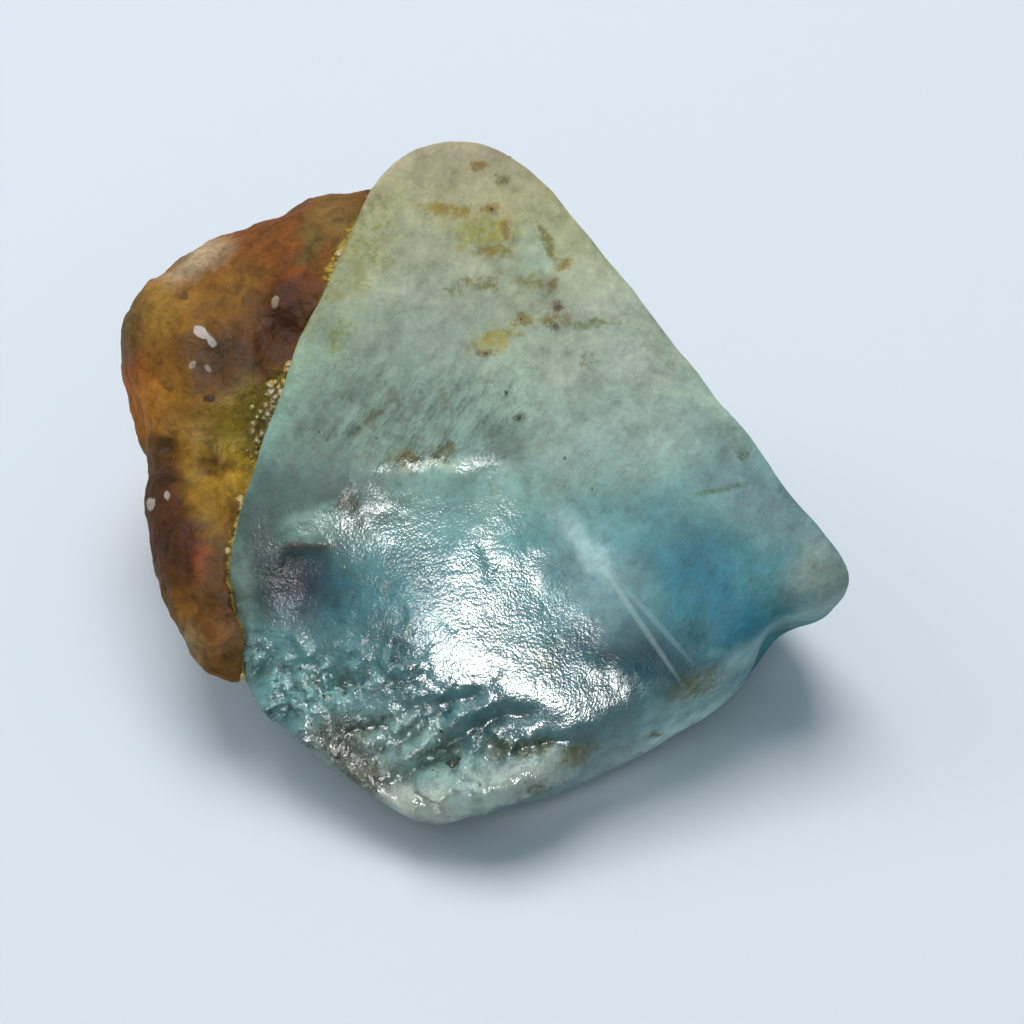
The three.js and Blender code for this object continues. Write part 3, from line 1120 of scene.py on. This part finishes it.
# Noise in the crystal's finish: size in millimetres, detail, roughness and shift.
CRYSTAL_NOISE = {
    "clouds": (2.4, 3, 0.65, 23),
    "fine": (0.22, 3, 0.7, 5),
    "ragged": (0.36, 3, 0.75, 41),
    "grain": (0.22, 2, 0.62, 3),
    "streaks": (0.7, 3, 0.7, 53),
    "dirt": (0.9, 3, 0.7, 31),
    "pricks": (0.12, 1, 0.6, 17),
}
# Scratches run along the splinters: their noise, and how much they are drawn out.
SCRATCH_NOISE = (0.5, 3, 0.7)
SCRATCH_STRETCH = 0.3
FACET_SIZE = 0.5
# How strongly the noise mottles the colour.
MOTTLE_LEVEL = 1.04
CLOUD_MOTTLE = 1.4
FINE_MOTTLE = 0.5
STREAK_MOTTLE = 0.85
STREAK_MOTTLE_IN_GLOSS = 0.45
HACKLE_MOTTLE = 1.2
FROST_MOTTLE = 0.4
# Dirt in the chips, in the splinters and on the frosted part, and how much it covers.
DIRT_IN_CHIPS = 0.8
DIRT_IN_HACKLE = 0.5
DIRT_ON_FROST = 0.2
DIRT_COVER = 0.7
DIRT_TINT = (112, 106, 88)
# Grooves and small pits are coloured darker by their depth, towards this tint.
HOLLOW_COVER = 0.5
HOLLOW_TINT = (66, 76, 66)
# Edges of the cleavage veil inside the crystal: middle, half length, turn and strength.
VEIL_LINES = [
    (5.95, -4.95, 3.9, -56, 0.24),
    (7.0, -5.35, 2.4, -48, 0.15),
]
VEIL_HALF_WIDTH = 0.14
VEIL_TINT = (206, 232, 230)
# Stains: how ragged their edges are, what they let through of each colour, and their cover.
STAIN_RAGGED = 2.4
STAIN_GRAINY = 1.0
STAIN_DEPTH = (0.88, 0.87, 0.34)
STAIN_COVER = 0.85
# Bumps in millimetres.
GRAIN_BUMP = 0.034
GRAIN_BUMP_IN_GLOSS = 0.022
GRAIN_BUMP_IN_CHIPS = 0.07
PRICK_BUMP = 0.02
PRICK_BUMP_IN_CHIPS = 0.02
FACET_BUMP_IN_CHIPS = 0.45
FACET_BUMP_IN_HACKLE = 0.2
FACET_BUMP_IN_GLOSS = 0.03
STREAK_BUMP = 0.08
SCRATCH_BUMP_IN_HACKLE = 0.16
SCRATCH_BUMP = 0.03
# How light passes: refraction, roughness and the share of clear crystal.
REFRACTION = 1.434
GLOSS_ROUGHNESS = 0.24
GLOSS_ROUGHNESS_IN_HACKLE = 0.2
ROUGHNESS_SPREAD = 0.12
FROST_ROUGHNESS = 0.7
FROST_SHINE = 0.08
FROST_BLUR = 0.3
MILKINESS = 0.3
MILK_REACH = (0.7, 1.0, 1.0)
MILK_SCALE = 0.0012
CLEAR_TINT = (235, 245, 242)
CLEAR_TINT_SHARE = 0.6
CLEAR_SHARE = 0.12
CLEAR_SHARE_IN_GLOSS = 0.32
DEPTH_COLOUR = (0.42, 0.78, 0.8, 1)
DEPTH_DENSITY = 60.0


def fluorite_finish():
    f = Finish("fluorite")
    gloss, chips, hackle, hollow, stain = (
        f.attribute(name) for name in ("gloss", "chips", "hackle", "hollow", "stain")
    )
    frost = 1 - gloss
    clouds, fine, ragged, grain, streaks, dirt, pricks = (f.noise(*row) for row in CRYSTAL_NOISE.values())
    cos, sin = math.cos(HACKLE_TURN), math.sin(HACKLE_TURN)
    stretched = f.node("ShaderNodeCombineXYZ", {}, {
        0: (f.across * cos + f.up * sin) * SCRATCH_STRETCH,
        1: f.up * cos - f.across * sin,
        2: f.towards,
    })
    scratches = f.noise(*SCRATCH_NOISE, place=stretched)

    mottle = MOTTLE_LEVEL + (clouds - 0.5) * CLOUD_MOTTLE + (fine - 0.5) * FINE_MOTTLE
    mottle = mottle + (streaks - 0.5) * (frost * STREAK_MOTTLE + gloss * STREAK_MOTTLE_IN_GLOSS)
    mottle = mottle + (scratches - 0.5) * (hackle * HACKLE_MOTTLE + frost * FROST_MOTTLE)
    colour = f.shade(f.attribute("tint", "Color"), mottle)
    dirty = chips * DIRT_IN_CHIPS + hackle * DIRT_IN_HACKLE + frost * DIRT_ON_FROST
    colour = f.blend(f.rise(dirt, 0.52, 0.64) * dirty * DIRT_COVER, colour, paint(*DIRT_TINT))
    colour = f.blend(f.rise(hollow, 0.08, 0.5) * HOLLOW_COVER, colour, paint(*HOLLOW_TINT))
    for across, up, half, turn, share in VEIL_LINES:
        line = f.patch(across, up, half, VEIL_HALF_WIDTH, turn, 1.0)
        colour = f.blend(line * share, colour, paint(*VEIL_TINT))
    edge = stain + (ragged - 0.5) * STAIN_RAGGED + (fine - 0.5) * STAIN_GRAINY
    stain_tint = f.times(f.attribute("stain_tint", "Color"), STAIN_DEPTH)
    stained = f.rise(edge, 0.2, 1.1) * f.rise(stain, 0.02, 0.3)
    colour = f.blend(stained * STAIN_COVER, colour, f.shade(stain_tint, mottle))

    lift = grain * (frost * GRAIN_BUMP + gloss * GRAIN_BUMP_IN_GLOSS + chips * GRAIN_BUMP_IN_CHIPS)
    lift = lift + pricks * (PRICK_BUMP + chips * PRICK_BUMP_IN_CHIPS)
    sharp = chips * FACET_BUMP_IN_CHIPS + hackle * FACET_BUMP_IN_HACKLE + gloss * FACET_BUMP_IN_GLOSS
    lift = lift + f.facets(FACET_SIZE) * sharp + streaks * frost * STREAK_BUMP
    lift = lift + scratches * (hackle * SCRATCH_BUMP_IN_HACKLE + frost * SCRATCH_BUMP)
    bump = f.bump(lift)

    rough = GLOSS_ROUGHNESS - hackle * (GLOSS_ROUGHNESS - GLOSS_ROUGHNESS_IN_HACKLE)
    rough = rough + (fine - 0.5) * ROUGHNESS_SPREAD
    stone = {"Base Color": colour, "Normal": bump, "IOR": REFRACTION}
    frosted = f.node("ShaderNodeBsdfPrincipled", {"subsurface_method": "BURLEY"}, {
        **stone,
        "Roughness": FROST_ROUGHNESS,
        "Specular IOR Level": FROST_SHINE,
        "Subsurface Weight": MILKINESS,
        "Subsurface Radius": MILK_REACH,
        "Subsurface Scale": MILK_SCALE,
    })
    polished = f.shader("ShaderNodeBsdfPrincipled", {**stone, "Roughness": rough})
    clear = f.shader("ShaderNodeBsdfPrincipled", {
        **stone,
        "Base Color": f.blend(CLEAR_TINT_SHARE, paint(*CLEAR_TINT), colour),
        "Roughness": rough + frost * FROST_BLUR,
        "Transmission Weight": 1.0,
    })
    milky = f.shader("ShaderNodeMixShader", {0: gloss, 1: frosted, 2: polished})
    clearness = frost * CLEAR_SHARE + gloss * CLEAR_SHARE_IN_GLOSS
    surface = f.shader("ShaderNodeMixShader", {0: clearness, 1: milky, 2: clear})
    depth = f.shader("ShaderNodeVolumeAbsorption", {"Color": DEPTH_COLOUR, "Density": DEPTH_DENSITY})
    return f.ended(surface, depth)


# The matrix's colours, in the same terms as the crystal's; one patch is a painted highlight.
MATRIX_GROUND = [
    (-9, (112, 77, 30)),
    (-4, (94, 60, 24)),
    (1, (98, 55, 21)),
    (4, (120, 84, 26)),
    (9, (118, 75, 25)),
    (14, (116, 68, 26)),
]
MATRIX_PAINT_AND_HIGHLIGHT = [
    (-17.4, 10.5, 1.9, 1.9, 30, 0.8, (156, 118, 52), 0.85),
    (-13.5, 13.4, 3.0, 1.5, 27, 0.8, (124, 72, 32), 0.85),
    (-14.2, 11.0, 1.7, 1.4, 20, 0.8, (132, 91, 34), 0.85),
    (-11.4, 9.6, 1.2, 2.6, -22, 0.8, (78, 34, 8), 0.95),
    (-10.4, 11.8, 0.8, 0.6, 0, 0.8, (134, 70, 18), 0.9),
    (-10.0, 13.5, 0.55, 1.3, -5, 0.8, (108, 96, 52), 0.75),
    (-8.4, 14.7, 1.6, 1.5, 0, 0.8, (132, 104, 58), 0.9),
    (-15.6, 6.9, 1.9, 1.4, 15, 0.8, (73, 46, 26), 0.9),
    (-13.4, 6.8, 2.0, 1.5, 20, 0.8, (84, 50, 20), 0.8),
    (-18.7, 6.0, 0.9, 2.0, 10, 0.8, (163, 85, 16), 0.95),
    (-19.4, 9.2, 0.8, 1.7, -25, 0.8, (98, 79, 44), 0.8),
    (-17.0, 5.2, 1.7, 2.0, 10, 0.9, (178, 122, 44), 0.9),
    (-15.7, 4.4, 1.1, 0.9, 0, 0.8, (147, 109, 50), 0.85),
    (-17.1, 3.1, 1.6, 0.6, -8, 0.8, (108, 73, 15), 0.85),
    (-13.3, 3.4, 2.0, 2.2, -20, 0.8, (196, 160, 62), 0.95),
    (-14.7, 2.4, 0.7, 0.5, 0, 0.8, (86, 52, 20), 0.8),
    (-17.5, 1.7, 1.1, 1.5, 10, 0.8, (70, 48, 32), 0.9),
    (-16.5, -1.4, 1.9, 2.0, 15, 0.9, (72, 40, 22), 0.9),
    (-15.2, -2.4, 0.4, 1.2, 10, 0.8, (128, 62, 20), 0.9),
    (-14.9, 0.4, 0.9, 1.9, 15, 0.8, (150, 112, 34), 0.9),
    (-15.8, -6.0, 1.3, 2.6, 22, 0.8, (133, 85, 26), 0.85),
    (-17.0, -5.0, 0.5, 2.6, 22, 0.8, (103, 80, 42), 0.8),
    # Painted highlight: a pale beige patch on the upper lump where it shines.
    (-15.8, 12.7, 1.5, 0.7, 34, 0.9, (196, 178, 158), 0.7),
    (-15.7, -6.7, 0.7, 1.1, 22, 0.9, (146, 126, 96), 0.7),
]
MATRIX_STAINS = [
    (-15.3, 8.8, 0.36, 0.2, -30, (206, 192, 184), 0.85),
    (-14.8, 8.35, 0.3, 0.16, -62, (196, 180, 168), 0.75),
    (-18.0, 0.4, 0.26, 0.3, 0, (170, 156, 144), 0.75),
    (-17.1, 0.9, 0.16, 0.2, 0, (170, 156, 144), 0.75),
    (-14.9, 5.6, 0.25, 0.2, 0, (70, 44, 26), 0.9),
    (-15.8, 7.25, 0.2, 0.12, 60, (176, 152, 128), 0.9),
    (-15.0, 7.2, 0.2, 0.12, -40, (176, 152, 128), 0.9),
    (-11.7, 10.4, 0.26, 0.16, 70, (166, 146, 120), 0.9),
    (-16.3, 10.7, 0.2, 0.2, 0, (92, 70, 40), 0.8),
]
MATRIX_WARMTH = (1.08, 1.03, 0.82)


def matrix_colours(points, front):
    seen = as_seen(points)
    drifting = stirred(seen, points, 2.0, 0.5)
    colours = ground_colours(drifting[:, 1] + 3 * Grain(61)(points, 4), MATRIX_GROUND)
    return laid_over(colours, drifting, MATRIX_PAINT_AND_HIGHLIGHT, 0.4 + 0.6 * front) * np.array(MATRIX_WARMTH)


# Noise in the matrix's finish: size in millimetres, detail, roughness, shift and warp.
MATRIX_NOISE = {
    "veins": (1.1, 5, 0.7, 8, 0.6),
    "small": (0.4, 4, 0.65, 14),
    "fine": (0.14, 2, 0.6, 4),
}
MATRIX_MOTTLE = (0.88, 2.0, 1.0)
CRUMBLY_TINT = (196, 170, 72)
CRUMBLY_COVER = 0.85
DARK_TINT = (62, 36, 18)
DARK_COVER = 0.25
PALE_COVER = 0.9
MATRIX_BUMPS = (0.12, 0.07, 0.012)
CRUMBLY_BUMP = 0.2
MATRIX_ROUGHNESS = 0.56
MATRIX_ROUGHNESS_SPREAD = 0.3
CRUMBLY_ROUGHNESS = 0.3
MATRIX_REFRACTION = 1.5
MATRIX_SHINE = 0.08


def matrix_finish():
    f = Finish("matrix")
    veins, small, fine = (f.noise(*row) for row in MATRIX_NOISE.values())
    level, vein_mottle, small_mottle = MATRIX_MOTTLE
    mottle = level + (veins - 0.5) * vein_mottle + (small - 0.5) * small_mottle
    colour = f.shade(f.attribute("tint", "Color"), mottle)
    crumbly = f.rise(f.attribute("seam") + (small - 0.5) * 1.2, 0.35, 0.7)
    colour = f.blend(crumbly * CRUMBLY_COVER, colour, f.shade(paint(*CRUMBLY_TINT), mottle))
    colour = f.blend(f.rise(small, 0.56, 0.7) * DARK_COVER, colour, paint(*DARK_TINT))
    stain = f.attribute("stain")
    stained = f.rise(stain + (small - 0.5) * 0.9, 0.35, 0.6) * f.rise(stain, 0.02, 0.2)
    colour = f.blend(stained * PALE_COVER, colour, f.attribute("stain_tint", "Color"))
    vein_bump, small_bump, fine_bump = MATRIX_BUMPS
    lift = veins * vein_bump + small * small_bump + fine * fine_bump + crumbly * small * CRUMBLY_BUMP
    rough = MATRIX_ROUGHNESS + crumbly * CRUMBLY_ROUGHNESS + (small - 0.5) * MATRIX_ROUGHNESS_SPREAD
    surface = f.shader("ShaderNodeBsdfPrincipled", {
        "Base Color": colour,
        "Roughness": rough,
        "Normal": f.bump(lift),
        "IOR": MATRIX_REFRACTION,
        "Specular IOR Level": MATRIX_SHINE,
    })
    return f.ended(surface)


# A dull two-coloured finish for crumbs, grit and specks.
def grain_finish(name, dark, light):
    f = Finish(name)
    colour = f.blend(f.noise(0.3, 3, 0.6), paint(*dark), paint(*light))
    return f.ended(f.shader("ShaderNodeBsdfPrincipled", {
        "Base Color": colour,
        "Roughness": 0.5,
        "Normal": f.bump(f.noise(0.1, 2) * 0.02),
    }))


FLOOR_COLOUR = (0.67, 0.70, 0.75)
FLOOR_SIDE = 3.0


def floor_finish():
    f = Finish("paper floor")
    surface = f.shader("ShaderNodeBsdfPrincipled", {
        "Base Color": (*FLOOR_COLOUR, 1),
        "Roughness": 0.7,
        "Specular IOR Level": 0.2,
    })
    return f.ended(surface)


def make_floor():
    mesh = bpy.data.meshes.new("floor")
    half = FLOOR_SIDE / 2
    corners = [(-half, -half, 0), (half, -half, 0), (half, half, 0), (-half, half, 0)]
    mesh.from_pydata(corners, [], [(0, 1, 2, 3)])
    floor = bpy.data.objects.new("floor", mesh)
    bpy.context.collection.objects.link(floor)
    floor.data.materials.append(floor_finish())


def aim(thing, target):
    thing.rotation_euler = (Vector(target) - thing.location).to_track_quat("-Z", "Y").to_euler()


# The lens, the sensor and the distance, all in millimetres.
CAMERA_LENS = 110
CAMERA_SENSOR = 36
CAMERA_DISTANCE = 151.75


def make_camera():
    camera = bpy.data.objects.new("camera", bpy.data.cameras.new("camera"))
    bpy.context.collection.objects.link(camera)
    camera.data.lens = CAMERA_LENS
    camera.data.sensor_width = CAMERA_SENSOR
    camera.data.clip_start = 0.01
    camera.data.clip_end = 20
    target = (SIGHT_CENTRE + ZERO_POINT) * MM
    camera.location = target + TOWARDS * CAMERA_DISTANCE * MM
    aim(camera, target)
    bpy.context.scene.camera = camera


# Soft boxes: name, the way from the stone in degrees, distance, side, power, and whether
# they only show as gloss.
SOFT_BOXES = [
    ("overhead", -168, 71, 0.60, 0.36, 2.84, False),
    ("side", -110, 40, 0.80, 0.40, 1.3, False),
    ("front", 14, 8, 0.50, 0.30, 0.16, False),
    ("window", 3, 48, 0.30, 0.064, 2.9, True),
    ("low window", -28, 14, 0.30, 0.06, 0.2, True),
    ("lamp", -62, 52, 0.30, 0.040, 0.12, True),
    ("back lamp", -150, 50, 0.30, 0.040, 0.12, True),
]
SKY = (0.54, 0.70, 0.79)
SKY_STRENGTH = 0.45


def make_lights():
    target = (SIGHT_CENTRE + ZERO_POINT) * MM
    for name, azimuth, elevation, distance, side, power, gloss_only in SOFT_BOXES:
        data = bpy.data.lights.new(name, "AREA")
        data.shape = "SQUARE"
        data.size = side
        data.energy = power
        lamp = bpy.data.objects.new(name, data)
        bpy.context.collection.objects.link(lamp)
        lamp.location = target + looking_out(azimuth, elevation) * distance
        aim(lamp, target)
        if gloss_only:
            lamp.visible_diffuse = False
            lamp.visible_transmission = False
            lamp.visible_volume_scatter = False
    world = bpy.data.worlds.new("sky")
    world.use_nodes = True
    sky = world.node_tree.nodes["Background"]
    sky.inputs["Color"].default_value = (*SKY, 1)
    sky.inputs["Strength"].default_value = SKY_STRENGTH
    bpy.context.scene.world = world


# How often light is followed on, and the strongest that a followed ray may be.
BOUNCES = {
    "max_bounces": 4,
    "diffuse_bounces": 2,
    "glossy_bounces": 2,
    "transmission_bounces": 3,
}
STRONGEST_BOUNCE = 4


def set_look():
    scene = bpy.context.scene
    scene.view_settings.view_transform = "Standard"
    scene.view_settings.look = "None"
    scene.cycles.use_denoising = True
    for name, count in BOUNCES.items():
        setattr(scene.cycles, name, count)
    scene.cycles.sample_clamp_indirect = STRONGEST_BOUNCE


make_camera()
crystal = make_crystal()
matrix = make_matrix()
grains = grain_network()
make_specks()
grounds = {"crumbs": matrix, "grit": crystal}
for name, (density, smallest, largest, seed, dark, light) in GRAINS.items():
    finish = grain_finish(name, dark, light)
    scatter(name, grounds[name], grains, density, smallest, largest, seed, finish)
make_floor()
make_lights()
set_look()
